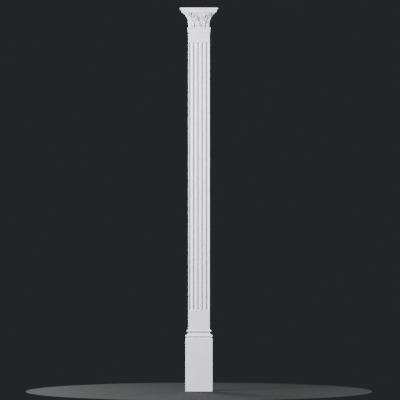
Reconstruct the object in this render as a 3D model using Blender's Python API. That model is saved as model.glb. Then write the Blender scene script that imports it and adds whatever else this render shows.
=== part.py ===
"""Wall pilaster: a tall plinth base, a fluted shaft and a leaf-carved capital.

Three separate castings stand on one another against a wall. Metres, +Z up: the floor is z = 0,
the wall is the plane y = 0 with the fronts towards -Y, and the centre line is x = 0.
"""

import math

import bmesh
import bpy
from mathutils import Vector

# Overall sizes of the three castings
BASE_WIDTH = 0.219
BASE_DEPTH = 0.045
BASE_HEIGHT = 0.500
SHAFT_WIDTH = 0.174
SHAFT_DEPTH = 0.020
SHAFT_LENGTH = 2.400
CAPITAL_WIDTH = 0.308
CAPITAL_DEPTH = 0.085
CAPITAL_HEIGHT = 0.196

# How the castings meet: the joint between two of them, and the ledge past the shaft's faces
JOINT_GAP = 0.0003
LEDGE = 0.003

# Flutes, cut with round ends into the shaft's face
FLUTE_COUNT = 5
FLUTE_DEPTH = 0.008
FLUTE_FLAT = 0.009
FLUTE_MARGIN = 0.0066
PLAIN_FOOT_LENGTH = 0.151
PLAIN_HEAD_LENGTH = 0.076

# Base mouldings: their heights, from the top of the base down
BASE_TOP_FILLET = 0.004
UPPER_TORUS = 0.017
SCOTIA = 0.020
SCOTIA_FILLET = 0.003
LOWER_TORUS = 0.018
BASE_GROOVE = 0.0045
BLOCK_CHAMFER = 0.006
FILLET_STEP = 0.0005
SCOTIA_WAIST_DOWN = 0.0067

# Base mouldings: how far they stand out, as shares of the way from the ledge to the block's face
UPPER_TORUS_OUT = 0.52
SCOTIA_TOP_OUT = 0.05
SCOTIA_WAIST_OUT = -0.09
SCOTIA_FILLET_OUT = 0.60
GROOVE_OUT = 0.64

# Capital mouldings: their heights, from the underside up and from the top down
NECK_ROUND = 0.003
NECK = 0.026
BEAD = 0.015
ABACUS_LIP = 0.006
ABACUS_COVE = 0.015
ABACUS_TOP = 0.010

# Capital mouldings: how far they stand out, as shares of the way from the ledge to the abacus edge
BEAD_FOOT_OUT = -0.04
BEAD_OUT = 0.06
ABACUS_LIP_OUT = 0.82
ABACUS_COVE_OUT = 0.99

# The bell under the leaves: waist and mouth as the same shares, and the power that flares it
BELL_WAIST_OUT = -0.144
BELL_MOUTH_OUT = 0.773
BELL_FLARE = 2.85
BELL_FOOT = 0.056
BELL_CORNER = 0.009

# The carving is drawn on a bell and a neck of these sizes, and stretched to the real ones
DRAWN_BELL_HEIGHT = 0.124
DRAWN_NECK_HALF = 0.090

# A leaf's edge: teeth on a lobe, and how far in the cuts between lobes and teeth go
LOBE_TEETH = 3
LOBE_CUT = 0.34
TOOTH_CUT = 0.10
CUTS_BEGIN = 6
CUTS_END = 4.5
EDGE_AT_FOOT = 0.78

# A leaf's veins: where they leave the midrib, and the point that bends them outwards
VEIN_START = 0.80
VEIN_SPREAD = 1.8
VEIN_BEND_OUT = 0.22
VEIN_BEND_UP = 0.62

# A leaf's relief, as shares of its lift, with where across the vein each part sits and its spread
PIPE_RELIEF = 0.24
PIPE_AT = 0.38
PIPE_SPREAD = 0.20
EYE_RELIEF = 0.50
RIB_RELIEF = 0.26
RIB_SPREAD = 0.12
TOOTH_RELIEF = 0.08
EDGE_RELIEF = 0.46
BODY_RELIEF = 0.42
GROWS_UNTIL = 0.625

# How far the carving's solids stand in the bell, the least relief at a leaf's edge, and how far
# everything reaches behind the wall's plane before it is cut flat
LEAF_SINK = 0.003
LEAF_EDGE = 0.0026
BACK_ALLOWANCE = 0.006
MERGE_DISTANCE = 1e-6

# How finely round forms are divided
ARC_STEPS = 6
BELL_STEPS = 12
CORNER_STEPS = 4
FLUTE_SIDES = 28
FLUTE_END_STEPS = 6

WHITE = (0.73, 0.72, 0.75, 1.0)

ledge_half = SHAFT_WIDTH / 2 + LEDGE
ledge_depth = SHAFT_DEPTH + LEDGE
bell_bottom = NECK + BEAD
abacus_bottom = CAPITAL_HEIGHT - ABACUS_TOP - ABACUS_COVE - ABACUS_LIP
bell_height = abacus_bottom - bell_bottom

# The leaves as drawn: foot (across, up from the capital's underside), height, half-width, lean
# outwards, the relief and its share at the foot, lobes on each side, the power that keeps the leaf
# full towards its tip, and how finely it is divided. A leaf whose tip curls over has the share of
# its height that stays on the bell, and the curl's radius
CENTRE_LEAF = dict(foot=(0, 0.040), height=0.074, half_width=0.034, lean=0, lift=0.0135,
                   foot_lift=0.70, lobes=3, full_tip=4, columns=5, flat=0.80, curl=0.0085)
CORNER_LEAF = dict(foot=(0, 0.040), height=0.082, half_width=0.037, lean=0, lift=0.0075,
                   foot_lift=0.85, lobes=3, full_tip=3, columns=5)
SECOND_LEAF = dict(foot=(0.020, 0.062), height=0.092, half_width=0.034, lean=0.34, lift=0.0120,
                   foot_lift=0.50, lobes=3, full_tip=5, columns=5, flat=0.86, curl=0.0100)
CREST_LEAF = dict(foot=(0, 0.086), height=0.082, half_width=0.036, lean=0, lift=0.0042,
                  foot_lift=0.8, lobes=2, full_tip=3, columns=4)
BUD_LEAF = dict(foot=(0, 0.096), height=0.034, half_width=0.0070, lean=0, lift=0.0130,
                foot_lift=0.8, lobes=1, full_tip=3, columns=2)

# The scrolls as drawn: stem foot and the stem's two guide points, eye, outer radius, turns,
# which way it winds, ribbon width, and the relief
HELIX = dict(stem=((0.0430, 0.0540), (0.0463, 0.0826), (0.0340, 0.0945)), eye=(0.021, 0.107),
             radius=0.0130, turns=1.35, start=0.0, winds=1, width=0.0066, lift=0.0155)
VOLUTE = dict(stem=((0.047, 0.060), (0.052, 0.094), (0.067, 0.122)), eye=(0.0820, 0.139),
              radius=0.0150, turns=1.45, start=math.pi, winds=-1, width=0.0074, lift=0.0140)
STEM_STEPS = 5
TURN_STEPS = 14

# A scroll's ribbon: its section as (share of the half-width, share of the lift; below the face:
# negative), how much it tapers and closes in on the eye, the stem's relief and the eye's button
RIBBON_SECTION = ((-1, -1), (-1, 0.62), (-0.5, 1), (0.5, 1), (1, 0.62), (1, -1))
RIBBON_TAPER = 0.45
SPIRAL_CLOSES = 0.78
STEM_RELIEF = 0.55
EYE_RADIUS = 0.0034
EYE_RELIEF_SHARE = 0.75


def clear_scene():
    for item in list(bpy.data.objects):
        bpy.data.objects.remove(item, do_unlink=True)


def casting_material(name):
    """White primed polyurethane casting, matt."""
    material = bpy.data.materials.new(name)
    material.use_nodes = True
    shader = material.node_tree.nodes["Principled BSDF"]
    shader.inputs["Base Color"].default_value = WHITE
    shader.inputs["Roughness"].default_value = 0.6
    shader.inputs["Metallic"].default_value = 0.0
    return material


def new_object(name, bm):
    bmesh.ops.recalc_face_normals(bm, faces=bm.faces)
    mesh = bpy.data.meshes.new(name)
    bm.to_mesh(mesh)
    bm.free()
    item = bpy.data.objects.new(name, mesh)
    bpy.context.scene.collection.objects.link(item)
    return item


def hide_guide(item):
    item.hide_render = True
    item.display_type = "WIRE"
    return item


def quarter(start, end, level_first):
    """Elliptical quarter between two (half-width, height) points, without its start."""
    points = []
    for step in range(1, ARC_STEPS + 1):
        turn = math.pi / 2 * step / ARC_STEPS
        early = math.sin(turn)
        late = 1 - math.cos(turn)
        across, up = (early, late) if level_first else (late, early)
        points.append((start[0] + (end[0] - start[0]) * across, start[1] + (end[1] - start[1]) * up))
    return points


def half_round(foot, crest, low, high):
    """Half-round moulding between two heights, as (half-width, height) points."""
    points = []
    for step in range(2 * ARC_STEPS + 1):
        turn = math.pi * (step / (2 * ARC_STEPS) - 0.5)
        points.append((foot + (crest - foot) * math.cos(turn),
                       (low + high) / 2 + (high - low) / 2 * math.sin(turn)))
    return points


def plan_outline(half_width, depth, corner, back):
    """A section's outline, from the wall round both front corners to the wall again."""
    points = [(half_width, back)]
    steps = CORNER_STEPS if corner else 0
    for side in (1, -1):
        for step in range(steps + 1):
            turn = math.pi / 2 * (step / steps if steps else 0)
            if side == -1:
                turn = math.pi / 2 - turn
            points.append((side * (half_width - corner + corner * math.cos(turn)),
                           -depth + corner - corner * math.sin(turn)))
    points.append((-half_width, back))
    return points


def close_sections(bm, sections):
    """Faces between each section and the next, corner to corner, and a cap at either end."""
    for low, high in zip(sections, sections[1:]):
        for corners in zip(low, low[1:] + low[:1], high[1:] + high[:1], high):
            bm.faces.new(corners)
    bm.faces.new(sections[0])
    bm.faces.new(sections[-1])


def stacked_body(name, profile, depth_at, corner=0.0, back=0.0):
    """A body built up from level sections; the profile gives half-width and height."""
    bm = bmesh.new()
    sections = []
    for half_width, height in profile:
        outline = plan_outline(half_width, depth_at(half_width), corner, back)
        sections.append([bm.verts.new((x, y, height)) for x, y in outline])
    close_sections(bm, sections)
    return new_object(name, bm)


def base_depth(half_width):
    share = (half_width - ledge_half) / (BASE_WIDTH / 2 - ledge_half)
    return ledge_depth + share * (BASE_DEPTH - ledge_depth)


def capital_depth(half_width):
    share = (half_width - ledge_half) / (CAPITAL_WIDTH / 2 - ledge_half)
    return ledge_depth + share * (CAPITAL_DEPTH - ledge_depth)


def base_reach(share):
    return ledge_half + share * (BASE_WIDTH / 2 - ledge_half)


def capital_reach(share):
    return ledge_half + share * (CAPITAL_WIDTH / 2 - ledge_half)


def make_base():
    """Plinth block, groove, torus, scotia, torus and top fillet, from the floor up."""
    block = base_reach(1)
    top = BASE_HEIGHT
    upper_high = top - BASE_TOP_FILLET
    upper_low = upper_high - UPPER_TORUS
    scotia_low = upper_low - SCOTIA
    lower_high = scotia_low - SCOTIA_FILLET
    lower_low = lower_high - LOWER_TORUS
    groove_low = lower_low - BASE_GROOVE
    waist = (base_reach(SCOTIA_WAIST_OUT), upper_low - SCOTIA_WAIST_DOWN)
    fillet = base_reach(SCOTIA_FILLET_OUT)
    profile = [(block, 0), (block, groove_low - BLOCK_CHAMFER), (base_reach(GROOVE_OUT), groove_low)]
    profile += half_round(base_reach(GROOVE_OUT), block, lower_low, lower_high)
    profile += [(fillet, lower_high + FILLET_STEP), (fillet, scotia_low)]
    profile += quarter((fillet, scotia_low), waist, True)
    profile += quarter(waist, (base_reach(SCOTIA_TOP_OUT), upper_low), False)
    profile += half_round(ledge_half, base_reach(UPPER_TORUS_OUT), upper_low, upper_high)
    profile += [(ledge_half, top)]
    return stacked_body("plinth_base", without_repeats(profile), base_depth)


def without_repeats(profile):
    kept = [profile[0]]
    for point in profile[1:]:
        if math.dist(point, kept[-1]) > JOINT_GAP:
            kept.append(point)
    return kept


def flute_cutter(name, across, width):
    """A round-ended rod: a turned outline, so far before the face that it cuts to FLUTE_DEPTH."""
    radius = (width ** 2 / 4 + FLUTE_DEPTH ** 2) / (2 * FLUTE_DEPTH)
    rise = radius - math.sqrt(radius ** 2 - width ** 2 / 4)
    end_reach = math.sqrt(radius ** 2 - (radius - rise) ** 2)
    low = PLAIN_FOOT_LENGTH + end_reach
    high = SHAFT_LENGTH - PLAIN_HEAD_LENGTH - end_reach
    outline = []
    for middle, first in ((low, -math.pi / 2), (high, 0)):
        for step in range(FLUTE_END_STEPS + 1):
            turn = first + math.pi / 2 * step / FLUTE_END_STEPS
            outline.append((radius * math.cos(turn), 0, middle + radius * math.sin(turn)))
    bm = bmesh.new()
    verts = [bm.verts.new(point) for point in outline]
    edges = [bm.edges.new(pair) for pair in zip(verts, verts[1:])]
    bmesh.ops.spin(bm, geom=verts + edges, cent=(0, 0, 0), axis=(0, 0, 1), dvec=(0, 0, 0),
                   angle=2 * math.pi, steps=FLUTE_SIDES, use_merge=True)
    bmesh.ops.remove_doubles(bm, verts=bm.verts, dist=MERGE_DISTANCE)
    bmesh.ops.translate(bm, verts=bm.verts, vec=(across, -SHAFT_DEPTH - (radius - FLUTE_DEPTH), 0))
    return hide_guide(new_object(name, bm))


def make_shaft():
    """A flat board with stopped flutes across its face."""
    half = SHAFT_WIDTH / 2
    shaft = stacked_body("fluted_shaft", [(half, 0), (half, SHAFT_LENGTH)], lambda _: SHAFT_DEPTH)
    room = SHAFT_WIDTH - 2 * FLUTE_MARGIN - (FLUTE_COUNT - 1) * FLUTE_FLAT
    width = room / FLUTE_COUNT
    for index in range(FLUTE_COUNT):
        across = (index - (FLUTE_COUNT - 1) / 2) * (width + FLUTE_FLAT)
        cutter = flute_cutter(f"flute_cutter_{index + 1}", across, width)
        cutter.parent = shaft
        cut = shaft.modifiers.new(cutter.name, "BOOLEAN")
        cut.operation = "DIFFERENCE"
        cut.object = cutter
        cut.solver = "EXACT"
    shaft.location.z = BASE_HEIGHT + JOINT_GAP
    return shaft


def bell_half(height):
    """Half-width of the bare bell at a height above the capital's underside."""
    foot = bell_bottom + BELL_FOOT * bell_height
    share = min(max((height - foot) / (abacus_bottom - foot), 0), 1)
    waist = capital_reach(BELL_WAIST_OUT)
    return waist + (capital_reach(BELL_MOUTH_OUT) - waist) * share ** BELL_FLARE


def bell_lean(height):
    """How far the bell's face leans out of upright."""
    step = bell_height / 100
    return math.atan2(bell_half(height + step) - bell_half(height - step), 2 * step)


def real_across(drawn):
    return drawn * ledge_half / DRAWN_NECK_HALF


def real_up(drawn):
    return bell_bottom + (drawn - bell_bottom) * bell_height / DRAWN_BELL_HEIGHT


def smooth_step(value):
    value = min(max(value, 0), 1)
    return value * value * (3 - 2 * value)


def leaf_line(leaf, height):
    """A leaf's line up the bell and round its curling tip: half-width, height and lean."""
    curl = leaf.get("curl")
    flat_until = real_up(leaf["foot"][1] + leaf["height"] * leaf["flat"]) if curl else height
    if height <= flat_until:
        return bell_half(height), height, bell_lean(height)
    lean = bell_lean(flat_until)
    turned = lean + (height - flat_until) / curl
    return (bell_half(flat_until) + curl * (math.cos(lean) - math.cos(turned)),
            flat_until + curl * (math.sin(turned) - math.sin(lean)), turned)


def round_corner(run, half_width):
    """Plan point and outward direction at a run past the bell's corner (before it: negative)."""
    depth = capital_depth(half_width)
    quarter_run = BELL_CORNER * math.pi / 4
    if run < -quarter_run:
        return Vector((half_width - BELL_CORNER + run + quarter_run, -depth, 0)), Vector((0, -1, 0))
    if run > quarter_run:
        return Vector((half_width, -depth + BELL_CORNER + run - quarter_run, 0)), Vector((1, 0, 0))
    turn = math.pi / 4 + run / BELL_CORNER
    outward = Vector((math.sin(turn), -math.cos(turn), 0))
    return Vector((half_width - BELL_CORNER, -depth + BELL_CORNER, 0)) + outward * BELL_CORNER, outward


def leaf_cuts(leaf, up):
    """How deep the leaf's edge is cut here: between two lobes, and between a lobe's teeth."""
    lobe = up * (leaf["lobes"] + 0.5)
    between_lobes = (0.5 + 0.5 * math.cos(2 * math.pi * lobe)) ** 1.5
    between_teeth = 0.5 + 0.5 * math.cos(2 * math.pi * LOBE_TEETH * lobe)
    return between_lobes, between_teeth


def leaf_point(leaf, up, out):
    """Across and height after `out` (0 to 1) of the vein that leaves the midrib at `up` (0 to 1)."""
    height, half_width = leaf["height"], leaf["half_width"]
    between_lobes, between_teeth = leaf_cuts(leaf, up)
    fade = smooth_step(up * CUTS_BEGIN) * smooth_step((1 - up) * CUTS_END)
    reach = out * (1 - LOBE_CUT * between_lobes * fade - TOOTH_CUT * between_teeth * fade)
    fullness = EDGE_AT_FOOT + (1 - EDGE_AT_FOOT) * math.sin(math.pi * up)
    edge = half_width * math.sqrt(1 - up ** leaf["full_tip"]) * fullness
    start = VEIN_START * height * up ** VEIN_SPREAD
    climb = height * up - start
    bend, end = 2 * reach * (1 - reach), reach ** 2
    return edge * (bend * VEIN_BEND_OUT + end), start + climb * (bend * VEIN_BEND_UP + end)


def leaf_lift(leaf, up, out):
    """Relief above the bell: midrib, pipes running down from the eyes between lobes, low edge."""
    between_lobes, between_teeth = leaf_cuts(leaf, up)
    pipe = PIPE_RELIEF * between_lobes * math.exp(-((out - PIPE_AT) / PIPE_SPREAD) ** 2)
    eye = EYE_RELIEF * between_lobes * smooth_step(2 * out - 1)
    rib = RIB_RELIEF * math.exp(-(out / RIB_SPREAD) ** 2)
    tooth = TOOTH_RELIEF * (1 - between_teeth) * smooth_step((out - PIPE_AT) / PIPE_AT)
    body = EDGE_RELIEF + BODY_RELIEF * math.cos(out * math.pi / 2)
    grown = leaf["foot_lift"] + (1 - leaf["foot_lift"]) * smooth_step(up / GROWS_UNTIL)
    return max(leaf["lift"] * grown * (body + rib + pipe + tooth - eye), LEAF_EDGE)


def leaf_solid(name, leaf, side, at_corner):
    """A closed leaf: a grid drawn out along the veins, thickened, and laid on the bell."""
    bm = bmesh.new()
    up_layer = bm.verts.layers.float.new("up")
    out_layer = bm.verts.layers.float.new("out")
    rows = round(2 * LOBE_TEETH * (leaf["lobes"] + 0.5))
    bmesh.ops.create_grid(bm, x_segments=2 * leaf["columns"], y_segments=rows, size=1)
    for vert in bm.verts:
        vert[up_layer] = (vert.co.y + 1) / 2
        vert[out_layer] = vert.co.x
        across, height = leaf_point(leaf, vert[up_layer], abs(vert[out_layer]))
        vert.co = (math.copysign(across, vert[out_layer]), height, 0)
    bmesh.ops.remove_doubles(bm, verts=bm.verts, dist=MERGE_DISTANCE)
    front = bm.verts[:]
    grown = bmesh.ops.extrude_face_region(bm, geom=bm.faces[:])
    back = {item for item in grown["geom"] if isinstance(item, bmesh.types.BMVert)}
    foot_across, foot_up = leaf["foot"]
    for vert in front + list(back):
        lift = leaf_lift(leaf, vert[up_layer], abs(vert[out_layer]))
        across = vert.co.x * math.cos(leaf["lean"]) + vert.co.y * math.sin(leaf["lean"])
        height = real_up(foot_up + vert.co.y * math.cos(leaf["lean"]) - vert.co.x * math.sin(leaf["lean"]))
        if vert in back:
            half_width, lean, lift = bell_half(height), bell_lean(height), -LEAF_SINK
        else:
            half_width, height, lean = leaf_line(leaf, height)
        if at_corner:
            plan, outward = round_corner(across, half_width)
        else:
            plan = Vector((real_across(foot_across + across), -capital_depth(half_width), 0))
            outward = Vector((0, -1, 0))
        place = plan + outward * (lift * math.cos(lean))
        place.z = height - lift * math.sin(lean)
        place.x *= side
        vert.co = place
    return new_object(name, bm)


def scroll_path(scroll):
    """Stem and spiral as drawn: (across, up) points with the share of the way to the eye."""
    (foot, first, second), eye = scroll["stem"], scroll["eye"]
    start = (eye[0] + scroll["radius"] * math.cos(scroll["start"]),
             eye[1] + scroll["radius"] * math.sin(scroll["start"]))
    path = []
    for step in range(STEM_STEPS):
        t = step / STEM_STEPS
        weights = ((1 - t) ** 3, 3 * t * (1 - t) ** 2, 3 * t * t * (1 - t), t ** 3)
        path.append(tuple(sum(w * p[axis] for w, p in zip(weights, (foot, first, second, start)))
                          for axis in (0, 1)))
    turns = round(scroll["turns"] * TURN_STEPS)
    for step in range(turns + 1):
        turn = scroll["start"] + scroll["winds"] * 2 * math.pi * step / TURN_STEPS
        radius = scroll["radius"] * (1 - SPIRAL_CLOSES * step / turns)
        path.append((eye[0] + radius * math.cos(turn), eye[1] + radius * math.sin(turn)))
    return path


def on_front(across, up, lift):
    """A point in front of the bell's face, as drawn, with its relief straight outwards."""
    height = real_up(up)
    return Vector((real_across(across), -capital_depth(bell_half(height)) - lift, height))


def scroll_solid(name, scroll, side):
    """A ribbon that climbs from its stem and winds in to its eye."""
    path = scroll_path(scroll)
    bm = bmesh.new()
    sections = []
    for index, (across, up) in enumerate(path):
        before = path[max(index - 1, 0)]
        after = path[min(index + 1, len(path) - 1)]
        along = Vector((after[0] - before[0], after[1] - before[1])).normalized()
        share = index / (len(path) - 1)
        half = scroll["width"] / 2 * (1 - RIBBON_TAPER * share)
        lift = scroll["lift"] * (STEM_RELIEF + (1 - STEM_RELIEF) * smooth_step(share * 3))
        ring = []
        for offset, rise in RIBBON_SECTION:
            height = lift * rise if rise > 0 else -LEAF_SINK
            point = on_front(across - along.y * half * offset, up + along.x * half * offset, height)
            point.x *= side
            ring.append(bm.verts.new(point))
        sections.append(ring)
    close_sections(bm, sections)
    return new_object(name, bm)


def eye_solid(name, scroll, side):
    bm = bmesh.new()
    bmesh.ops.create_icosphere(bm, subdivisions=2, radius=EYE_RADIUS)
    centre = on_front(scroll["eye"][0], scroll["eye"][1], scroll["lift"] * EYE_RELIEF_SHARE)
    centre.x *= side
    bmesh.ops.translate(bm, verts=bm.verts, vec=centre)
    return new_object(name, bm)


def make_capital():
    """Neck, bead, bell and abacus, then the leaves and scrolls joined to them."""
    edge = capital_reach(1)
    foot = capital_reach(BEAD_FOOT_OUT)
    lip = capital_reach(ABACUS_LIP_OUT)
    cove = capital_reach(ABACUS_COVE_OUT)
    neck = [(SHAFT_WIDTH / 2, 0)]
    neck += quarter(neck[0], (ledge_half, NECK_ROUND), True)
    neck += [(ledge_half, NECK - 2 * JOINT_GAP)]
    neck += half_round(foot, capital_reach(BEAD_OUT), NECK, NECK + BEAD)
    abacus = [(lip, abacus_bottom), (lip, abacus_bottom + ABACUS_LIP)]
    abacus += quarter(abacus[-1], (cove, CAPITAL_HEIGHT - ABACUS_TOP - JOINT_GAP), False)
    abacus += [(edge, CAPITAL_HEIGHT - ABACUS_TOP), (edge, CAPITAL_HEIGHT)]
    bell_low = NECK + BEAD / 2
    bell_high = abacus_bottom + ABACUS_LIP / 2
    bell = []
    for step in range(BELL_STEPS + 1):
        height = bell_low + (bell_high - bell_low) * step / BELL_STEPS
        bell.append((bell_half(height), height))
    capital = stacked_body("capital", bell, capital_depth, BELL_CORNER, BACK_ALLOWANCE)
    additions = [stacked_body("neck_and_bead", neck, capital_depth, 0, BACK_ALLOWANCE),
                 stacked_body("abacus", abacus, capital_depth, 0, BACK_ALLOWANCE),
                 leaf_solid("centre_leaf", CENTRE_LEAF, 1, False),
                 leaf_solid("bud_leaf", BUD_LEAF, 1, False)]
    for side, hand in ((1, "right"), (-1, "left")):
        additions += [leaf_solid(f"corner_leaf_{hand}", CORNER_LEAF, side, True),
                      leaf_solid(f"crest_leaf_{hand}", CREST_LEAF, side, True),
                      leaf_solid(f"second_leaf_{hand}", SECOND_LEAF, side, False)]
        for name, scroll in (("helix", HELIX), ("volute", VOLUTE)):
            additions += [scroll_solid(f"{name}_{hand}", scroll, side),
                          eye_solid(f"{name}_eye_{hand}", scroll, side)]
    join_and_cut(capital, additions)
    capital.location.z = BASE_HEIGHT + SHAFT_LENGTH + 2 * JOINT_GAP
    return capital


def join_and_cut(body, additions):
    """Joins the additions to the body in one step, and cuts it flat at the wall's face."""
    group = bpy.data.collections.new(f"{body.name}_additions")
    for item in additions:
        group.objects.link(hide_guide(item))
    union = body.modifiers.new("additions", "BOOLEAN")
    union.operation = "UNION"
    union.operand_type = "COLLECTION"
    union.collection = group
    union.solver = "EXACT"
    bpy.context.view_layer.update()
    joined = bpy.data.meshes.new_from_object(body.evaluated_get(bpy.context.evaluated_depsgraph_get()))
    bm = bmesh.new()
    bm.from_mesh(joined)
    bmesh.ops.bisect_plane(bm, geom=bm.verts[:] + bm.edges[:] + bm.faces[:], plane_co=(0, 0, 0),
                           plane_no=(0, 1, 0), clear_outer=True)
    bmesh.ops.edgeloop_fill(bm, edges=[edge for edge in bm.edges if edge.is_boundary])
    bmesh.ops.recalc_face_normals(bm, faces=bm.faces)
    body.modifiers.clear()
    bm.to_mesh(body.data)
    bm.free()
    bpy.data.meshes.remove(joined)
    for item in additions:
        bpy.data.objects.remove(item, do_unlink=True)
    bpy.data.collections.remove(group)


def main():
    clear_scene()
    for item in (make_base(), make_shaft(), make_capital()):
        item.data.materials.append(casting_material(f"{item.name}_casting"))


main()
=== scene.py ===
import math

import bmesh
import bpy
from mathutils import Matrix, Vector


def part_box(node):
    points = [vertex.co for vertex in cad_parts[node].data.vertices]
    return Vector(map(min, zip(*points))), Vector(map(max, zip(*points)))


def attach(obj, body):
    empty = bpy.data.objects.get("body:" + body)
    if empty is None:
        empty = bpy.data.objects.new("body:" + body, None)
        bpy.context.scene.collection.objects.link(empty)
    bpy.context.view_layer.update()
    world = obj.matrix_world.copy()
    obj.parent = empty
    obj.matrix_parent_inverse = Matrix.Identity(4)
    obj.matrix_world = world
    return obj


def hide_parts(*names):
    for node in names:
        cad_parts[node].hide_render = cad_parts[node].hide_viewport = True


# Dresses a three-piece wall pilaster: plinth base, fluted shaft and carved capital. Sizes are in metres.

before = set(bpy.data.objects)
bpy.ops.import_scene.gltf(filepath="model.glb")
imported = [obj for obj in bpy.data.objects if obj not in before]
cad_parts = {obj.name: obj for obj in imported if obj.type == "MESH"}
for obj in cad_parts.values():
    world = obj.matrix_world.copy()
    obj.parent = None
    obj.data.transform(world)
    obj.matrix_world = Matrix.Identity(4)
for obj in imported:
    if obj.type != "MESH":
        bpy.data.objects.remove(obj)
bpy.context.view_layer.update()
print("stage: frame loaded")


# Small helpers for shapes

rounding = {
    "steps": 3,
    "leastTurn": 0.45,  # in radians; a smaller bend is part of a round moulding already
    "sideShare": 0.45,  # the most of a side that one rounding takes
    "mergeShare": 0.125,  # points nearer than this share of the radius count as one
}
flatFaces = {"weight": 90}


def newPiece(name, bm, sharpAngle=0.6):
    bmesh.ops.recalc_face_normals(bm, faces=bm.faces)
    mesh = bpy.data.meshes.new(name)
    bm.to_mesh(mesh)
    bm.free()
    mesh.shade_smooth()
    mesh.set_sharp_from_angle(angle=sharpAngle)
    piece = bpy.data.objects.new(name, mesh)
    bpy.context.scene.collection.objects.link(piece)
    return piece


def flatFaceNormals(piece):
    weighted = piece.modifiers.new("flat faces stay flat", "WEIGHTED_NORMAL")
    weighted.keep_sharp = True
    weighted.weight = flatFaces["weight"]


def settle(piece, node):
    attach(piece, "root")
    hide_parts(node)


def smoothStep(value):
    value = min(max(value, 0), 1)
    return value * value * (3 - 2 * value)


def between(first, last, share):
    return tuple(a + (b - a) * share for a, b in zip(first, last))


def quarterArc(start, end, levelFirst, steps):
    points = []
    for step in range(1, steps + 1):
        turn = math.pi / 2 * step / steps
        early, late = math.sin(turn), 1 - math.cos(turn)
        across, up = (early, late) if levelFirst else (late, early)
        points.append((start[0] + (end[0] - start[0]) * across, start[1] + (end[1] - start[1]) * up))
    return points


def halfRound(foot, crest, low, high, steps):
    points = []
    for step in range(2 * steps + 1):
        turn = math.pi * (step / (2 * steps) - 0.5)
        points.append((foot + (crest - foot) * math.cos(turn),
                       (low + high) / 2 + (high - low) / 2 * math.sin(turn)))
    return points


def softened(profile, radius):
    kept = [Vector(profile[0])]
    for point in profile[1:]:
        if (Vector(point) - kept[-1]).length > radius * rounding["mergeShare"]:
            kept.append(Vector(point))
    points = [tuple(kept[0])]
    for before, corner, after in zip(kept, kept[1:], kept[2:]):
        back, on = before - corner, after - corner
        turn = math.pi - back.angle(on)
        if turn < rounding["leastTurn"]:
            points.append(tuple(corner))
            continue
        longest = min(back.length, on.length) * rounding["sideShare"]
        reach = min(radius * math.tan(turn / 2), longest)
        first, last = corner + back.normalized() * reach, corner + on.normalized() * reach
        for step in range(rounding["steps"] + 1):
            t = step / rounding["steps"]
            points.append(tuple(first * (1 - t) ** 2 + corner * 2 * t * (1 - t) + last * t * t))
    points.append(tuple(kept[-1]))
    return points


def planOutline(halfWidth, depth, corner, back, steps):
    points = [(halfWidth, back)]
    for side in (1, -1):
        for step in range(steps + 1):
            turn = math.pi / 2 * (step if side == 1 else steps - step) / steps
            points.append((side * (halfWidth - corner + corner * math.cos(turn)),
                           -depth + corner - corner * math.sin(turn)))
    points.append((-halfWidth, back))
    return points


def closeSections(bm, sections):
    for low, high in zip(sections, sections[1:]):
        for corners in zip(low, low[1:] + low[:1], high[1:] + high[:1], high):
            bm.faces.new(corners)
    bm.faces.new(sections[0])
    bm.faces.new(sections[-1])


def stackedBody(bm, profile, depthAt, corner, back, steps):
    sections = []
    for halfWidth, height in profile:
        outline = planOutline(halfWidth, depthAt(halfWidth), corner, back, steps)
        sections.append([bm.verts.new((x, y, height)) for x, y in outline])
    closeSections(bm, sections)


# The three castings' boxes, from the frame

baseLow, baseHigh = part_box("plinth_base")
shaftLow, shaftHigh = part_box("fluted_shaft")
capitalLow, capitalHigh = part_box("capital")
wall = baseHigh.y
shaftHalf = shaftHigh.x
ledge = {"out": 0.003}  # how far base top and capital foot stand past the shaft's faces
ledgeHalf = shaftHalf + ledge["out"]
ledgeDepth = wall - shaftLow.y + ledge["out"]


# Finish: white primer on moulded polyurethane foam. It is matt, so light falls off softly over the
# mouldings, with a faint stipple and a broad unevenness of tone; painted shade greys the hollows.

finish = {
    "specular": 0.4, "smoothest": 0.50, "roughest": 0.66,
    "cloudWidth": 0.111,  # the primer's broad unevenness of tone
    "mottleWidth": 0.00625, "mottleHeight": 0.0010,  # the moulded foam's skin
    "stippleWidth": 0.00143, "stippleHeight": 0.0003,  # coarser than a real one, which wouldn't show
    "bump": 0.25, "noiseLow": 0.3, "noiseHigh": 0.7,
    # painted shade in hollows: the occlusion reach, the openness where it is full and where it ends
    "paintedShadeReach": 0.012, "paintedShadeOpen": 0.25, "faceOpen": 0.85, "paintedShadeSamples": 16,
}


def srgb(code):
    values = [int(code[i:i + 2], 16) / 255 for i in (0, 2, 4)]
    return tuple(v / 12.92 if v <= 0.04045 else ((v + 0.055) / 1.055) ** 2.4 for v in values) + (1.0,)


def addNode(tree, kind, settings=None, **links):
    node = tree.nodes.new(kind)
    for name, value in (settings or {}).items():
        if name in node.inputs:
            node.inputs[name].default_value = value
        else:
            setattr(node, name, value)
    for name, source in links.items():
        tree.links.new(source, node.inputs[name.replace("_", " ")])
    return node


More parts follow.
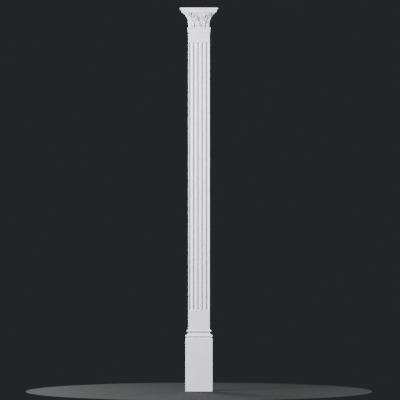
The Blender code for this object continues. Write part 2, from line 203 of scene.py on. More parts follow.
def primedCasting(name, paint):
    material = bpy.data.materials.new(name)
    material.use_nodes = True
    tree = material.node_tree
    shader = tree.nodes["Principled BSDF"]
    shader.inputs["Specular IOR Level"].default_value = finish["specular"]
    place = addNode(tree, "ShaderNodeTexCoord").outputs["Object"]
    noiseRange = {"From Min": finish["noiseLow"], "From Max": finish["noiseHigh"]}

    clouds = addNode(tree, "ShaderNodeTexNoise",
                     {"noise_dimensions": "4D", "Scale": 1 / finish["cloudWidth"], "Detail": 3.0,
                      "W": paint["seed"]}, Vector=place)
    tone = addNode(tree, "ShaderNodeMapRange", noiseRange, Value=clouds.outputs["Fac"])
    colour = addNode(tree, "ShaderNodeValToRGB", Fac=tone.outputs["Result"])
    colour.color_ramp.elements[0].color = srgb(paint["cloud"])
    colour.color_ramp.elements[1].color = srgb(paint["body"])

    # Painted shade: an ambient occlusion node greys the colour towards the shade tone in hollows and creases
    openness = addNode(tree, "ShaderNodeAmbientOcclusion",
                       {"only_local": True, "samples": finish["paintedShadeSamples"],
                        "Distance": finish["paintedShadeReach"]})
    shade = addNode(tree, "ShaderNodeMapRange",
                    {"From Min": finish["paintedShadeOpen"], "From Max": finish["faceOpen"]},
                    Value=openness.outputs["AO"])
    paintedShadeMix = addNode(tree, "ShaderNodeMix", {"data_type": "RGBA"})
    share, paintedShade, face = (paintedShadeMix.inputs[socket] for socket in (0, 6, 7))  # as its names aren't unique
    paintedShade.default_value = srgb(paint["paintedShade"])
    tree.links.new(shade.outputs["Result"], share)
    tree.links.new(colour.outputs["Color"], face)
    tree.links.new(paintedShadeMix.outputs[2], shader.inputs["Base Color"])

    mottle = addNode(tree, "ShaderNodeTexNoise", {"Scale": 1 / finish["mottleWidth"], "Detail": 2.0},
                     Vector=place)
    rough = addNode(tree, "ShaderNodeMapRange",
                    {**noiseRange, "To Min": finish["smoothest"], "To Max": finish["roughest"]},
                    Value=mottle.outputs["Fac"])
    tree.links.new(rough.outputs["Result"], shader.inputs["Roughness"])
    waves = addNode(tree, "ShaderNodeBump",
                    {"Strength": finish["bump"], "Distance": finish["mottleHeight"]},
                    Height=mottle.outputs["Fac"])
    stipple = addNode(tree, "ShaderNodeTexNoise", {"Scale": 1 / finish["stippleWidth"], "Detail": 2.0},
                      Vector=place)
    grain = addNode(tree, "ShaderNodeBump",
                    {"Strength": finish["bump"], "Distance": finish["stippleHeight"]},
                    Height=stipple.outputs["Fac"], Normal=waves.outputs["Normal"])
    tree.links.new(grain.outputs["Normal"], shader.inputs["Normal"])
    return material


# Plinth base: block, groove, torus, scotia, torus and top fillet, finer than the frame's

base = {
    "topFillet": 0.004, "upperTorus": 0.017, "scotia": 0.020, "scotiaFillet": 0.003,
    "lowerTorus": 0.018, "groove": 0.0045, "chamfer": 0.006, "filletStep": 0.0005,
    "waistDown": 0.0067, "upperTorusOut": 0.52, "scotiaTopOut": 0.05, "waistOut": -0.09,
    "filletOut": 0.60, "grooveOut": 0.64, "topEdge": 0.0036, "arris": 0.0012, "corner": 0.0016,
    "arcSteps": 12, "cornerSteps": 5,
    # the darkest tone is painted shade, laid in the hollows
    "paint": {"body": "d5d4dc", "cloud": "cecdd5", "paintedShade": "bcbac4", "seed": 1.0},
}


def makeBase():
    blockHalf, blockDepth = baseHigh.x, wall - baseLow.y

    def reach(share):
        return ledgeHalf + share * (blockHalf - ledgeHalf)

    def depthAt(halfWidth):
        return ledgeDepth + (halfWidth - ledgeHalf) / (blockHalf - ledgeHalf) * (blockDepth - ledgeDepth)

    steps, top = base["arcSteps"], baseHigh.z
    upperHigh = top - base["topFillet"]
    upperLow = upperHigh - base["upperTorus"]
    scotiaLow = upperLow - base["scotia"]
    lowerHigh = scotiaLow - base["scotiaFillet"]
    lowerLow = lowerHigh - base["lowerTorus"]
    grooveLow = lowerLow - base["groove"]
    waist = (reach(base["waistOut"]), upperLow - base["waistDown"])
    fillet, groove = reach(base["filletOut"]), reach(base["grooveOut"])
    profile = [(blockHalf, baseLow.z), (blockHalf, grooveLow - base["chamfer"]), (groove, grooveLow)]
    profile += halfRound(groove, blockHalf, lowerLow, lowerHigh, steps)
    profile += [(fillet, lowerHigh + base["filletStep"]), (fillet, scotiaLow)]
    profile += quarterArc((fillet, scotiaLow), waist, True, steps)
    profile += quarterArc(waist, (reach(base["scotiaTopOut"]), upperLow), False, steps)
    profile += halfRound(ledgeHalf, reach(base["upperTorusOut"]), upperLow, upperHigh, steps)
    profile += [(ledgeHalf, top), (ledgeHalf - base["topEdge"], top)]
    bm = bmesh.new()
    stackedBody(bm, softened(profile, base["arris"]), depthAt, base["corner"], wall, base["cornerSteps"])
    piece = newPiece("plinth_base_cast", bm)
    flatFaceNormals(piece)
    piece.data.materials.append(primedCasting("white primed polyurethane base", base["paint"]))
    settle(piece, "plinth_base")
    print("stage: plinth base", len(piece.data.polygons))


makeBase()


# Fluted shaft: a board with five stopped flutes, their arrises softened

shaft = {
    "flutes": 5, "depth": 0.008, "flat": 0.009, "margin": 0.0066, "plainFoot": 0.151,
    "plainHead": 0.076, "arris": 0.0007, "corner": 0.0012,
    "endSteps": 20, "wallSteps": 14, "arrisSteps": 4, "cornerSteps": 5,
    # the darkest tone is painted shade, laid in the flutes
    "paint": {"body": "d3d1da", "cloud": "cccad3", "paintedShade": "a5a3ad", "seed": 2.0},
}


def fluteProfile(width):
    radius = (width ** 2 / 4 + shaft["depth"] ** 2) / (2 * shaft["depth"])
    before, soft = radius - shaft["depth"], shaft["arris"]
    lateral = math.sqrt((radius + soft) ** 2 - (before + soft) ** 2)
    meets = math.acos((before + soft) / (radius + soft))
    profile = []
    for step in range(shaft["arrisSteps"]):  # round arris, from the flat face down to the wall
        turn = meets * step / shaft["arrisSteps"]
        profile.append((lateral - soft * math.sin(turn), soft - soft * math.cos(turn)))
    for step in range(shaft["wallSteps"]):
        turn = meets * (1 - step / shaft["wallSteps"])
        profile.append((radius * math.sin(turn), radius * math.cos(turn) - before))
    return profile


def stadium(across, low, high, halfWidth, depth):
    points = []
    for middle, first in ((low, math.pi), (high, 0)):
        for step in range(shaft["endSteps"] + 1):
            turn = first + math.pi * step / shaft["endSteps"]
            points.append((across + halfWidth * math.cos(turn), depth, middle + halfWidth * math.sin(turn)))
    return points


def makeShaft():
    front, low, high = shaftLow.y, shaftLow.z, shaftHigh.z
    room = 2 * shaftHalf - 2 * shaft["margin"] - (shaft["flutes"] - 1) * shaft["flat"]
    width = room / shaft["flutes"]
    profile = fluteProfile(width)
    bm = bmesh.new()
    outline = planOutline(shaftHalf, wall - front, shaft["corner"], wall, shaft["cornerSteps"])
    rings = [[bm.verts.new((x, y, z)) for x, y in outline] for z in (low, high)]
    middle = len(outline) // 2 - 1  # the edge of the outline that is the front face
    for index in range(len(outline)):
        after = (index + 1) % len(outline)
        if index != middle:
            bm.faces.new((rings[0][index], rings[0][after], rings[1][after], rings[1][index]))
    bm.faces.new(rings[0])
    bm.faces.new(rings[1])
    corners = [rings[0][middle], rings[0][middle + 1], rings[1][middle + 1], rings[1][middle]]
    rim = [bm.edges.get(pair) or bm.edges.new(pair) for pair in zip(corners, corners[1:] + corners[:1])]
    ends = (low + shaft["plainFoot"] + width / 2, high - shaft["plainHead"] - width / 2)
    for index in range(shaft["flutes"]):
        across = (index - (shaft["flutes"] - 1) / 2) * (width + shaft["flat"])
        loops = []
        for halfWidth, depth in profile:
            loops.append([bm.verts.new(p) for p in stadium(across, *ends, halfWidth, front + depth)])
        for outer, inner in zip(loops, loops[1:]):
            for face in zip(outer, outer[1:] + outer[:1], inner[1:] + inner[:1], inner):
                bm.faces.new(face)
        bm.faces.new(loops[-1])
        rim += [bm.edges.get(pair) for pair in zip(loops[0], loops[0][1:] + loops[0][:1])]
    bmesh.ops.triangle_fill(bm, edges=rim, use_beauty=True, use_dissolve=False, normal=(0, -1, 0))
    piece = newPiece("fluted_shaft_cast", bm)
    flatFaceNormals(piece)
    piece.data.materials.append(primedCasting("white primed polyurethane shaft", shaft["paint"]))
    settle(piece, "fluted_shaft")
    print("stage: fluted shaft", len(piece.data.polygons))


makeShaft()


# Capital: neck, bead, bell and abacus, with leaves and scrolls carved on the bell

capital = {
    "neckRound": 0.003, "neck": 0.026, "bead": 0.015, "lip": 0.006, "cove": 0.015, "top": 0.010,
    "beadFootOut": -0.04, "beadOut": 0.06, "lipOut": 0.82, "coveOut": 0.99,
    "footEdge": 0.002, "beadSeat": 0.0006, "coveSeat": 0.0003, "abacusEdge": 0.004,
    "waistOut": -0.144, "mouthOut": 0.773, "flare": 2.85, "foot": 0.056,
    "bellCorner": 0.009, "arris": 0.0011, "corner": 0.0013, "sharpAngle": 0.7,
    "arcSteps": 12, "cornerSteps": 5, "bellSteps": 60, "bellCornerSteps": 8,
    "voxel": 0.00095, "behind": 0.006, "overlap": 0.004, "backTrim": 0.0002,
    # the darkest tone is painted shade, laid in the carving's hollows
    "paint": {"body": "dcdae2", "cloud": "d4d2db", "paintedShade": "9997a1", "seed": 3.0},
}
capitalHalf, capitalDepth = capitalHigh.x, wall - capitalLow.y
bellBottom = capital["neck"] + capital["bead"]
abacusBottom = capitalHigh.z - capitalLow.z - capital["top"] - capital["cove"] - capital["lip"]
bellHeight = abacusBottom - bellBottom


def capitalReach(share):
    return ledgeHalf + share * (capitalHalf - ledgeHalf)


def capitalDepthAt(halfWidth):
    return ledgeDepth + (halfWidth - ledgeHalf) / (capitalHalf - ledgeHalf) * (capitalDepth - ledgeDepth)


def bellHalf(height):
    foot = bellBottom + capital["foot"] * bellHeight
    share = min(max((height - foot) / (abacusBottom - foot), 0), 1)
    waist = capitalReach(capital["waistOut"])
    return waist + (capitalReach(capital["mouthOut"]) - waist) * share ** capital["flare"]


def bellLean(height):
    step = bellHeight / 100
    return math.atan2(bellHalf(height + step) - bellHalf(height - step), 2 * step)


def roundCorner(run, halfWidth):
    depth, corner = capitalDepthAt(halfWidth), capital["bellCorner"]
    quarterRun = corner * math.pi / 4
    if run < -quarterRun:
        return Vector((halfWidth - corner + run + quarterRun, -depth, 0)), Vector((0, -1, 0))
    if run > quarterRun:
        return Vector((halfWidth, -depth + corner + run - quarterRun, 0)), Vector((1, 0, 0))
    turn = math.pi / 4 + run / corner
    outward = Vector((math.sin(turn), -math.cos(turn), 0))
    return Vector((halfWidth - corner, -depth + corner, 0)) + outward * corner, outward


# Leaves: a thin sheet with a cut edge under a midrib and round fingers. Feet are up from the capital's
# underside. "flat" is the share of the height before the tip curls over, and past 1 it never does.

leaves = {
    "centre": {"foot": (0, 0.040), "height": 0.080, "halfWidth": 0.034, "lean": 0, "lift": 0.0135,
               "footLift": 0.70, "flat": 0.74, "curl": 0.0085, "lobes": 3, "fullTip": 4,
               "atCorner": False, "fingers": True},
    "corner": {"foot": (0, 0.040), "height": 0.082, "halfWidth": 0.037, "lean": 0, "lift": 0.0056,
               "footLift": 0.85, "flat": 2.0, "lobes": 3, "fullTip": 3,
               "atCorner": True, "fingers": True},
    "second": {"foot": (0.020, 0.062), "height": 0.096, "halfWidth": 0.034, "lean": 0.34, "lift": 0.0120,
               "footLift": 0.50, "flat": 0.84, "curl": 0.0085, "lobes": 3, "fullTip": 6,
               "atCorner": False, "fingers": True},
    "crest": {"foot": (0, 0.086), "height": 0.082, "halfWidth": 0.036, "lean": 0, "lift": 0.0036,
              "footLift": 0.80, "flat": 2.0, "lobes": 3, "fullTip": 3,
              "atCorner": True, "fingers": True},
    "bud": {"foot": (0, 0.096), "height": 0.034, "halfWidth": 0.0070, "lean": 0, "lift": 0.0130,
            "footLift": 0.80, "flat": 2.0, "lobes": 1, "fullTip": 3,
            "atCorner": False, "fingers": False},
}
edges = {
    "atFoot": 0.56, "lobeTeeth": 3, "lobeCut": 0.50, "toothCut": 0.05, "lobeRound": 1.5,
    "cutsBegin": 9, "cutsEnd": 6,  # the cuts fade in over the first 1/9 of a leaf and out over its last 1/6
}
veins = {"lastStart": 0.80, "startPower": 1.8, "bendOut": 0.22, "bendUp": 0.62}
sheet = {
    "rowsPerTooth": 6, "columns": 24, "sink": 0.003, "thinnest": 0.0016, "share": 0.50, "reach": 0.88,
    "atEdge": 0.46, "crown": 0.42, "grows": 1.6, "tipThins": 0.35, "tipBacked": 0.7,
    "eyeDepth": 0.85, "eyeSlope": 3.2, "eyeStart": 0.9,  # eyes: the hollows between lobes
}
blade = {"sides": 10, "atEdge": 0.22, "backShare": 0.7, "sink": 0.001}
finger = {
    "steps": 16, "gather": 0.45, "root": 0.10, "width": 0.54, "lobeDraws": 0.84, "footWidth": 0.42,
    "fullAt": 0.72, "tipPower": 4, "tipLeast": 0.02, "lift": 0.96, "falls": 0.34,
}
rib = {"half": 0.0042, "endHalf": 0.0016, "lift": 1.12, "reach": 0.985}


def leafLine(height, flatUntil, curl):
    if height <= flatUntil:
        return bellHalf(height), height, bellLean(height)
    lean = bellLean(flatUntil)
    turned = lean + (height - flatUntil) / curl
    return (bellHalf(flatUntil) + curl * (math.cos(lean) - math.cos(turned)),
            flatUntil + curl * (math.sin(turned) - math.sin(lean)), turned)


def leafCuts(leaf, up):
    lobe = up * (leaf["lobes"] + 0.5)  # the tip is half a lobe
    betweenLobes = (0.5 + 0.5 * math.cos(2 * math.pi * lobe)) ** edges["lobeRound"]
    betweenTeeth = 0.5 + 0.5 * math.cos(2 * math.pi * edges["lobeTeeth"] * lobe)
    return betweenLobes, betweenTeeth


def veinPoint(leaf, up, along, root):
    fullness = edges["atFoot"] + (1 - edges["atFoot"]) * math.sin(math.pi * up)
    edge = leaf["halfWidth"] * math.sqrt(1 - up ** leaf["fullTip"]) * fullness
    start = veins["lastStart"] * leaf["height"] * root ** veins["startPower"]  # where it leaves the midrib
    climb = leaf["height"] * up - start
    bend, end = 2 * along * (1 - along), along ** 2
    return edge * (bend * veins["bendOut"] + end), start + climb * (bend * veins["bendUp"] + end)


def edgeReach(leaf, up):
    betweenLobes, betweenTeeth = leafCuts(leaf, up)
    fade = smoothStep(up * edges["cutsBegin"]) * smoothStep((1 - up) * edges["cutsEnd"])
    return 1 - (edges["lobeCut"] * betweenLobes + edges["toothCut"] * betweenTeeth) * fade


def grownShare(leaf, up):
    return leaf["footLift"] + (1 - leaf["footLift"]) * smoothStep(up * sheet["grows"])


def sheetLift(leaf, up, out):
    betweenLobes = leafCuts(leaf, up)[0]
    eye = sheet["eyeDepth"] * betweenLobes * smoothStep(sheet["eyeSlope"] * out - sheet["eyeStart"])
    body = sheet["atEdge"] + sheet["crown"] * math.cos(out * math.pi / 2)
    return max(leaf["lift"] * grownShare(leaf, up) * sheet["share"] * (body - eye), sheet["thinnest"])


def onLeaf(leaf, side, across, up, lift, behind=False):
    lean, (footAcross, footUp) = leaf["lean"], leaf["foot"]
    curl = leaf.get("curl", 0)
    run = across * math.cos(lean) + up * math.sin(lean)
    height = footUp + up * math.cos(lean) - across * math.sin(lean)
    flatUntil = footUp + leaf["height"] * leaf["flat"]
    if behind:
        height = min(height, flatUntil + curl * sheet["tipBacked"])
        halfWidth, tilt = bellHalf(height), bellLean(height)
    else:
        halfWidth, height, tilt = leafLine(height, flatUntil, curl)
        lift *= 1 - sheet["tipThins"] * smoothStep(tilt - bellLean(flatUntil))
    if leaf["atCorner"]:
        plan, outward = roundCorner(run, halfWidth)
    else:
        plan, outward = Vector((footAcross + run, -capitalDepthAt(halfWidth), 0)), Vector((0, -1, 0))
    place = plan + outward * (lift * math.cos(tilt))
    return Vector((place.x * side, place.y, height - lift * math.sin(tilt)))


def addSheet(bm, leaf, side):
    rows = round(sheet["rowsPerTooth"] * edges["lobeTeeth"] * (leaf["lobes"] + 0.5))
    grid = bmesh.ops.create_grid(bm, x_segments=2 * sheet["columns"], y_segments=rows, size=1)
    front = grid["verts"]
    drawn = {vert: ((vert.co.y + 1) / 2, vert.co.x) for vert in front}
    faces = list({face for vert in front for face in vert.link_faces})
    places = {tuple(vert.co): vert for vert in front}
    grown = bmesh.ops.extrude_face_region(bm, geom=faces)
    back = [item for item in grown["geom"] if isinstance(item, bmesh.types.BMVert)]
    drawn.update({vert: drawn[places[tuple(vert.co)]] for vert in back})
    backs = set(back)
    reach = sheet["reach"] if leaf["fingers"] else 1
    for vert, (up, out) in drawn.items():
        across, height = veinPoint(leaf, up, abs(out) * edgeReach(leaf, up) * reach, up)
        lift = -sheet["sink"] if vert in backs else sheetLift(leaf, up, abs(out))
        vert.co = onLeaf(leaf, side, math.copysign(across, out), height, lift, vert in backs)


def addBlade(bm, leaf, side, path, halfWidths, lifts):
    sections = []
    for index, (across, up) in enumerate(path):
        before, after = path[max(index - 1, 0)], path[min(index + 1, len(path) - 1)]
        along = Vector((after[0] - before[0], after[1] - before[1])).normalized()
        ring = []
        for step in range(blade["sides"]):
            turn = math.pi * step / (blade["sides"] - 1)
            offset = halfWidths[index] * math.cos(turn)
            lift = lifts[index] * (blade["atEdge"] + (1 - blade["atEdge"]) * math.sin(turn))
            ring.append(onLeaf(leaf, side, across - along.y * offset, up + along.x * offset, lift))
        for hand in (-1, 1):
            offset = hand * halfWidths[index] * blade["backShare"]
            ring.append(onLeaf(leaf, side, across - along.y * offset, up + along.x * offset, -blade["sink"]))
        sections.append([bm.verts.new(point) for point in ring])
    closeSections(bm, sections)


def addRib(bm, leaf, side):
    steps = 2 * finger["steps"]
    shares = [step / steps for step in range(steps + 1)]
    addBlade(bm, leaf, side, [(0, leaf["height"] * rib["reach"] * share) for share in shares],
             [rib["half"] + (rib["endHalf"] - rib["half"]) * share for share in shares],
             [leaf["lift"] * rib["lift"] * grownShare(leaf, share) for share in shares])


def addFingers(bm, leaf, side, tooth, teethPerLeaf):
    lobes = leaf["lobes"] + 0.5
    up = (tooth + 0.5) / teethPerLeaf
    middle = min((math.floor(up * lobes) + 0.5) / lobes, 1)
    up = middle + (up - middle) * finger["lobeDraws"]
    root = middle + (up - middle) * finger["gather"]  # a lobe's fingers gather on the midrib
    spread = leaf["height"] / teethPerLeaf * finger["width"]
    reach = edgeReach(leaf, up)
    path, halfWidths, lifts = [], [], []
    for step in range(finger["steps"] + 1):
        share = step / finger["steps"]
        path.append(veinPoint(leaf, up, (finger["root"] + (1 - finger["root"]) * share) * reach, root))
        widened = math.sin(math.pi / 2 * min(share / finger["fullAt"], 1))
        tip = math.sqrt(max(1 - share ** finger["tipPower"], finger["tipLeast"]))
        halfWidths.append(spread * (finger["footWidth"] + (1 - finger["footWidth"]) * widened) * tip)
        lifts.append(leaf["lift"] * grownShare(leaf, up) * (finger["lift"] - finger["falls"] * share ** 2))
    for hand in (1, -1):
        addBlade(bm, leaf, side, [(across * hand, height) for across, height in path], halfWidths, lifts)


def addLeaf(bm, leaf, side):
    addSheet(bm, leaf, side)
    if not leaf["fingers"]:
        return
    addRib(bm, leaf, side)
    teethPerLeaf = edges["lobeTeeth"] * (leaf["lobes"] + 0.5)
    for tooth in range(math.floor(teethPerLeaf)):
        addFingers(bm, leaf, side, tooth, teethPerLeaf)


# Scrolls: the helices beside the bud and the volutes under the abacus corners

scrolls = {
    "helix": {"stem": ((0.0430, 0.0540), (0.0463, 0.0826), (0.0340, 0.0945)), "eye": (0.021, 0.107),
              "radius": 0.0130, "turns": 1.35, "start": 0.0, "winds": 1, "width": 0.0066,
              "lift": 0.0155},
    "volute": {"stem": ((0.047, 0.060), (0.052, 0.094), (0.067, 0.122)), "eye": (0.0820, 0.139),
               "radius": 0.0150, "turns": 1.45, "start": math.pi, "winds": -1, "width": 0.0074,
               "lift": 0.0140},
}
ribbon = {
    "section": ((-1, -1), (-1, 0.70), (-0.86, 0.92), (-0.66, 1), (-0.36, 0.90), (0, 0.80),
                (0.36, 0.90), (0.66, 1), (0.86, 0.92), (1, 0.70), (1, -1)),  # channelled between two rims
    "footWidth": 0.75, "widens": 4, "taper": 0.45, "closes": 0.78, "stemLift": 0.55, "rises": 3,
    "sink": 0.003, "stemSteps": 30, "turnSteps": 56, "eyeRadius": 0.0036, "eyeShare": 0.75, "eyeFineness": 3,
}


def scrollPath(scroll):
    (foot, first, second), eye = scroll["stem"], scroll["eye"]
    start = (eye[0] + scroll["radius"] * math.cos(scroll["start"]),
             eye[1] + scroll["radius"] * math.sin(scroll["start"]))
    path = []
    for step in range(ribbon["stemSteps"]):
        t = step / ribbon["stemSteps"]
        weights = ((1 - t) ** 3, 3 * t * (1 - t) ** 2, 3 * t * t * (1 - t), t ** 3)
        path.append(tuple(sum(w * p[axis] for w, p in zip(weights, (foot, first, second, start)))
                          for axis in (0, 1)))
    turns = round(scroll["turns"] * ribbon["turnSteps"])
    for step in range(turns + 1):
        turn = scroll["start"] + scroll["winds"] * 2 * math.pi * step / ribbon["turnSteps"]
        radius = scroll["radius"] * (1 - ribbon["closes"] * step / turns)
        path.append((eye[0] + radius * math.cos(turn), eye[1] + radius * math.sin(turn)))
    return path


def onFront(across, height, lift):
    return Vector((across, -capitalDepthAt(bellHalf(height)) - lift, height))


def addScroll(bm, scroll, side):
    path = scrollPath(scroll)
    sections = []
    for index, (across, up) in enumerate(path):
        before, after = path[max(index - 1, 0)], path[min(index + 1, len(path) - 1)]
        along = Vector((after[0] - before[0], after[1] - before[1])).normalized()
        share = index / (len(path) - 1)
        widened = ribbon["footWidth"] + (1 - ribbon["footWidth"]) * smoothStep(share * ribbon["widens"])
        half = scroll["width"] / 2 * widened * (1 - ribbon["taper"] * share ** 2)
        risen = ribbon["stemLift"] + (1 - ribbon["stemLift"]) * smoothStep(share * ribbon["rises"])
        ring = []
        for offset, rise in ribbon["section"]:
            height = scroll["lift"] * risen * rise if rise > 0 else -ribbon["sink"]
            point = onFront(across - along.y * half * offset, up + along.x * half * offset, height)
            point.x *= side
            ring.append(bm.verts.new(point))
        sections.append(ring)
    closeSections(bm, sections)
    eye = bmesh.ops.create_icosphere(bm, subdivisions=ribbon["eyeFineness"], radius=ribbon["eyeRadius"])
    centre = onFront(*scroll["eye"], scroll["lift"] * ribbon["eyeShare"])
    centre.x *= side
    bmesh.ops.translate(bm, verts=eye["verts"], vec=centre)


# Sheaths: the fluted stalk, its collar and the small leaves that both scrolls grow out of

sheath = {
    "foot": (0.0415, 0.0420), "top": (0.0460, 0.0800), "halfFoot": 0.0036, "halfTop": 0.0066,
    "lift": 0.0125, "footShare": 0.70, "steps": 12,
    "ribs": (-0.55, 0, 0.55), "ribHalf": 0.26, "ribFootShare": 0.82, "ribRise": 0.30,
    "collar": (0.0450, 0.0760), "collarHalf": 0.0078, "collarUp": 0.0036, "collarLift": 0.0145,
    "collarRound": 0.9,
    "cups": ((-0.0150, 0.0200, 0.0042), (-0.0065, 0.0225, 0.0040), (0.0085, 0.0225, 0.0040),
             (0.0190, 0.0170, 0.0042)),  # each small leaf's reach across and up, and its half-width
    "cupBend": (0.15, 0.75), "cupShare": 0.90, "cupRise": 0.15, "cupTipPower": 3, "cupTipLeast": 0.03,
}
onBell = {"foot": (0, 0), "height": 1.0, "lean": 0, "flat": 2.0, "atCorner": False}


def addSheath(bm, side):
    shares = [step / sheath["steps"] for step in range(sheath["steps"] + 1)]
    path = [between(sheath["foot"], sheath["top"], share) for share in shares]
    halves = [sheath["halfFoot"] + (sheath["halfTop"] - sheath["halfFoot"]) * share for share in shares]
    lifts = [sheath["lift"] * (sheath["footShare"] + (1 - sheath["footShare"]) * share) for share in shares]
    addBlade(bm, onBell, side, path, halves, lifts)
    for out in sheath["ribs"]:
        ribPath = [(across + half * out, up) for (across, up), half in zip(path, halves)]
        addBlade(bm, onBell, side, ribPath, [half * sheath["ribHalf"] for half in halves],
                 [sheath["lift"] * (sheath["ribFootShare"] + sheath["ribRise"] * share) for share in shares])
    across, up = sheath["collar"]
    swell = [math.sqrt(1 - sheath["collarRound"] * (2 * share - 1) ** 2) for share in shares]
    addBlade(bm, onBell, side, [(across, up + sheath["collarUp"] * (2 * share - 1)) for share in shares],
             [sheath["collarHalf"] * swollen for swollen in swell],
             [sheath["collarLift"] * swollen for swollen in swell])
    for out, rise, half in sheath["cups"]:
        bend = (across + out * sheath["cupBend"][0], up + rise * sheath["cupBend"][1])
        tip = (across + out, up + rise)
        cup = [between(between(sheath["collar"], bend, share), between(bend, tip, share), share)
               for share in shares]
        narrowed = [math.sqrt(max(1 - share ** sheath["cupTipPower"], sheath["cupTipLeast"]))
                    for share in shares]
        lifts = [sheath["collarLift"] * (sheath["cupShare"] + sheath["cupRise"] * share) for share in shares]
        addBlade(bm, onBell, side, cup, [half * narrow for narrow in narrowed], lifts)


# The capital as one casting: its carving is joined into one skin, cut flat and set between neck and abacus

def cutFlat(bm, place, normal):
    geometry = bm.verts[:] + bm.edges[:] + bm.faces[:]
    cut = bmesh.ops.bisect_plane(bm, geom=geometry, plane_co=place, plane_no=normal, clear_outer=True)
    rim = [item for item in cut["geom_cut"] if isinstance(item, bmesh.types.BMEdge)]
    bmesh.ops.edgeloop_fill(bm, edges=rim)


def bellWithCarving():
    bm = bmesh.new()
    low, high = bellBottom - 2 * capital["overlap"], abacusBottom + 2 * capital["overlap"]
    profile = []
    for step in range(capital["bellSteps"] + 1):
        height = low + (high - low) * step / capital["bellSteps"]
        profile.append((bellHalf(height), height))
    stackedBody(bm, profile, capitalDepthAt, capital["bellCorner"], capital["behind"],
                capital["bellCornerSteps"])
    addLeaf(bm, leaves["centre"], 1)
    addLeaf(bm, leaves["bud"], 1)
    for side in (1, -1):
        addLeaf(bm, leaves["corner"], side)
        addLeaf(bm, leaves["crest"], side)
        addLeaf(bm, leaves["second"], side)
        addScroll(bm, scrolls["helix"], side)
        addScroll(bm, scrolls["volute"], side)
        addSheath(bm, side)
    return bm


def joinedBell():
    rough = newPiece("carved_bell_parts", bellWithCarving())
    remesh = rough.modifiers.new("one casting", "REMESH")
    remesh.mode = "VOXEL"
    remesh.voxel_size = capital["voxel"]
    joined = bpy.data.meshes.new_from_object(rough.evaluated_get(bpy.context.evaluated_depsgraph_get()))
    bpy.data.objects.remove(rough, do_unlink=True)
    bm = bmesh.new()
    bm.from_mesh(joined)
    bpy.data.meshes.remove(joined)
    bmesh.ops.smooth_vert(bm, verts=bm.verts, factor=0.5, use_axis_x=True, use_axis_y=True, use_axis_z=True)
    cutFlat(bm, (0, wall - capital["backTrim"], 0), (0, 1, 0))
    cutFlat(bm, (0, 0, bellBottom - capital["overlap"]), (0, 0, -1))
    cutFlat(bm, (0, 0, abacusBottom + capital["overlap"]), (0, 0, 1))
    print("stage: bell carved", len(bm.faces))
    return bm


def makeCapital():
    steps = capital["arcSteps"]
    top = capitalHigh.z - capitalLow.z
    edge, foot = capitalReach(1), capitalReach(capital["beadFootOut"])
    lip, cove = capitalReach(capital["lipOut"]), capitalReach(capital["coveOut"])
    neck = [(shaftHalf - capital["footEdge"], 0), (shaftHalf, 0)]
    neck += quarterArc(neck[-1], (ledgeHalf, capital["neckRound"]), True, steps)
    neck += [(ledgeHalf, capital["neck"] - capital["beadSeat"])]
    neck += halfRound(foot, capitalReach(capital["beadOut"]), capital["neck"], bellBottom, steps)
    abacus = [(lip - capital["abacusEdge"], abacusBottom), (lip, abacusBottom),
              (lip, abacusBottom + capital["lip"])]
    abacus += quarterArc(abacus[-1], (cove, top - capital["top"] - capital["coveSeat"]), False, steps)
    abacus += [(edge, top - capital["top"]), (edge, top), (edge - capital["abacusEdge"], top)]
    bm = joinedBell()
    for profile in (neck, abacus):
        stackedBody(bm, softened(profile, capital["arris"]), capitalDepthAt, capital["corner"], wall,
                    capital["cornerSteps"])
    bmesh.ops.translate(bm, verts=bm.verts, vec=(0, 0, capitalLow.z))
    piece = newPiece("capital_cast", bm, capital["sharpAngle"])
    flatFaceNormals(piece)
    piece.data.materials.append(primedCasting("white primed polyurethane capital", capital["paint"]))
    settle(piece, "capital")
    print("stage: capital", len(piece.data.polygons))


makeCapital()


# Floor, light and camera: a dark matt studio like the photograph's ground

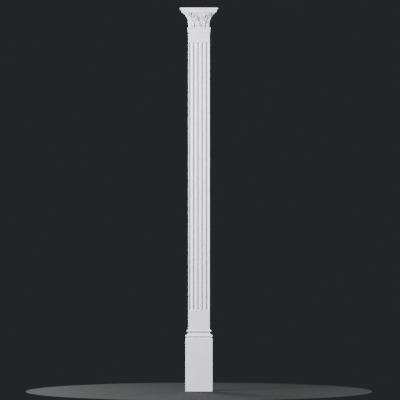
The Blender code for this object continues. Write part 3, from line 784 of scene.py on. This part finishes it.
studio = {
    "floorHalf": 1.4, "floorTone": "151617", "floorRough": 0.9, "floorShine": 0.1, "floorSides": 96,
    "dark": "2a2b2d", "darkStrength": 1.0,
    "cameraAway": 30.0, "cameraAside": 0.0081, "frameHeight": 3.235, "frameMiddle": 1.546,
    "filmWidth": 36, "farthest": 100,
}
lights = {
    "key": {"place": (-3.2, -2.7, 2.8), "aimUp": 1.546, "width": 0.5, "height": 2.6, "power": 830},
    "fill": {"place": (-0.5, -4.2, 0.4), "aimUp": 1.546, "width": 1.6, "height": 1.2, "power": 8},
    "back left": {"place": (-2.4, 3.2, 2.2), "aimUp": 1.546, "width": 1.6, "height": 3.0, "power": 240},
    "back right": {"place": (3.0, 1.8, 2.2), "aimUp": 1.546, "width": 1.6, "height": 3.0, "power": 190},
    "top": {"place": (-0.8, -1.6, 5.4), "aimUp": 3.0, "width": 1.6, "height": 1.6, "power": 50},
}


def makeFloor():
    bm = bmesh.new()
    bmesh.ops.create_circle(bm, cap_ends=True, segments=studio["floorSides"], radius=studio["floorHalf"])
    floor = newPiece("floor", bm)
    material = bpy.data.materials.new("dark matt studio floor")
    material.use_nodes = True
    shader = material.node_tree.nodes["Principled BSDF"]
    shader.inputs["Base Color"].default_value = srgb(studio["floorTone"])
    shader.inputs["Roughness"].default_value = studio["floorRough"]
    shader.inputs["Specular IOR Level"].default_value = studio["floorShine"]
    floor.data.materials.append(material)


def softLight(name, light):
    data = bpy.data.lights.new(name, "AREA")
    data.shape = "RECTANGLE"
    data.size, data.size_y, data.energy = light["width"], light["height"], light["power"]
    lamp = bpy.data.objects.new(name, data)
    lamp.location = light["place"]
    aim = Vector((0, 0, light["aimUp"])) - lamp.location
    lamp.rotation_euler = aim.to_track_quat("-Z", "Z").to_euler()
    lamp.visible_camera = False
    bpy.context.scene.collection.objects.link(lamp)


def makeWorld():
    world = bpy.data.worlds.new("studio")
    world.use_nodes = True
    background = world.node_tree.nodes["Background"]
    background.inputs["Color"].default_value = srgb(studio["dark"])
    background.inputs["Strength"].default_value = studio["darkStrength"]
    bpy.context.scene.world = world


def makeCamera():
    data = bpy.data.cameras.new("camera")
    data.sensor_width = studio["filmWidth"]
    data.lens = studio["filmWidth"] * studio["cameraAway"] / studio["frameHeight"]
    data.clip_end = studio["farthest"]
    camera = bpy.data.objects.new("camera", data)
    camera.location = (studio["cameraAside"], -studio["cameraAway"], studio["frameMiddle"])
    camera.rotation_euler = (math.pi / 2, 0, 0)
    bpy.context.scene.collection.objects.link(camera)
    bpy.context.scene.camera = camera


makeFloor()
for name, light in lights.items():
    softLight(name, light)
makeWorld()
makeCamera()
print("stage: studio")
